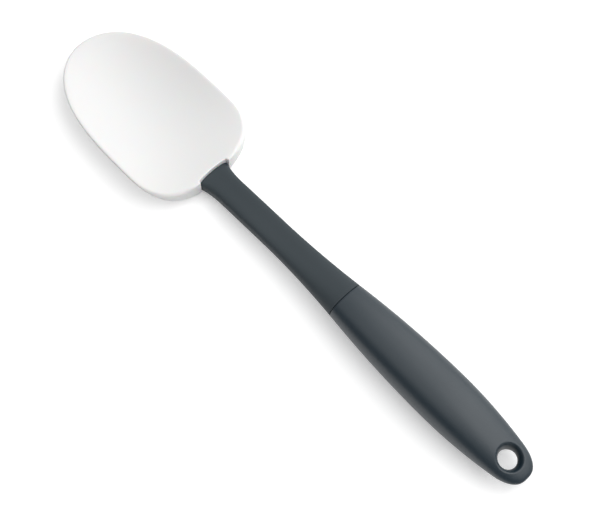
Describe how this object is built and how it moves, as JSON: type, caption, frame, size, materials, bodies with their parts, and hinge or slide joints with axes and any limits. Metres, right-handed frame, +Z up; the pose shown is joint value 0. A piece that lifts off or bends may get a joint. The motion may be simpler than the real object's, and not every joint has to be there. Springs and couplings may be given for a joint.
{
  "type": "silicone spatula",
  "caption": "Spoon-shaped silicone spatula: soft white scoop head on a dark slim neck, with a soft rounded dark grip and a hanging hole at its butt.",
  "frame": {"origin": "on the table, under the middle of the length, on the mirror plane", "axes": "+X from the butt of the handle to the tip of the head, +Y to the left of someone looking along +X, +Z up out of the bowl"},
  "size_m": [0.295, 0.0622, 0.0198],
  "materials": {
    "white_silicone": "matte",
    "neck_plastic": "matte",
    "core_plastic": "matte",
    "grip_rubber": "satin"
  },
  "bodies": {
    "root": {"silicone_head": "white_silicone", "neck": "neck_plastic", "handle_core": "core_plastic", "grip": "grip_rubber"}
  },
  "joints": []
}
